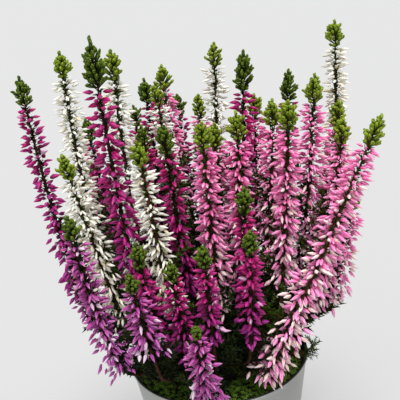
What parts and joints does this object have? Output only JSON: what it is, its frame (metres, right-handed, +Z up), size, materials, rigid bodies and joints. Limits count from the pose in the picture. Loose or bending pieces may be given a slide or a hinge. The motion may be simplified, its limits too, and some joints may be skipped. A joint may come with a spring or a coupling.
{
  "type": "potted heather",
  "caption": "Bud-blooming heather of mixed white, pink and crimson flower spikes with green leafy tips, growing in a round tapered nursery pot of peaty soil edged with moss.",
  "frame": {"origin": "middle of the pot's underside, on the surface it stands on", "axes": "+Z up along the pot's axis; -Y towards the front, where the low spikes lean over the rim; +X to the right seen from the front"},
  "size_m": [0.1878, 0.1769, 0.288],
  "materials": {
    "pot": "matte",
    "soil": "matte",
    "moss": "matte",
    "dark_leaves": "matte",
    "light_leaves": "matte",
    "crimson_buds": "matte",
    "violet_buds": "matte",
    "pink_buds": "matte",
    "white_buds": "matte"
  },
  "bodies": {
    "root": {"pot": "pot", "root_ball": "soil", "moss": "moss", "crimson_bloom_01": "crimson_buds", "crimson_bloom_02": "crimson_buds", "violet_bloom_03": "violet_buds", "crimson_bloom_04": "crimson_buds", "leafy_spray_01": "dark_leaves", "crimson_bloom_05": "crimson_buds", "crimson_bloom_06": "crimson_buds", "violet_bloom_07": "violet_buds", "violet_bloom_08": "violet_buds", "leafy_spray_02": "dark_leaves", "crimson_bloom_09": "crimson_buds", "crimson_bloom_10": "crimson_buds", "crimson_bloom_11": "crimson_buds", "crimson_bloom_12": "crimson_buds", "violet_bloom_13": "violet_buds", "leafy_spray_03": "dark_leaves", "crimson_bloom_14": "crimson_buds", "crimson_bloom_15": "crimson_buds", "crimson_bloom_16": "crimson_buds", "leafy_spray_04": "dark_leaves", "crimson_bloom_17": "crimson_buds", "crimson_bloom_18": "crimson_buds", "crimson_bloom_19": "crimson_buds", "leafy_spray_05": "dark_leaves", "crimson_bloom_20": "crimson_buds", "crimson_bloom_21": "crimson_buds", "leafy_spray_06": "dark_leaves", "white_bloom_22": "white_buds", "white_bloom_23": "white_buds", "leafy_spray_07": "light_leaves", "white_bloom_24": "white_buds", "white_bloom_25": "white_buds", "leafy_spray_08": "light_leaves", "white_bloom_26": "white_buds", "pink_bloom_27": "pink_buds", "pink_bloom_28": "pink_buds", "leafy_spray_09": "light_leaves", "white_bloom_29": "white_buds", "pink_bloom_30": "pink_buds", "pink_bloom_31": "pink_buds", "leafy_spray_10": "light_leaves", "pink_bloom_32": "pink_buds", "pink_bloom_33": "pink_buds", "pink_bloom_34": "pink_buds", "leafy_spray_11": "light_leaves", "pink_bloom_35": "pink_buds", "pink_bloom_36": "pink_buds", "pink_bloom_37": "pink_buds", "leafy_spray_12": "light_leaves", "pink_bloom_38": "pink_buds", "pink_bloom_39": "pink_buds", "pink_bloom_40": "pink_buds", "pink_bloom_41": "pink_buds", "leafy_spray_13": "light_leaves", "white_bloom_42": "white_buds", "pink_bloom_43": "pink_buds", "leafy_spray_14": "light_leaves"}
  },
  "joints": []
}
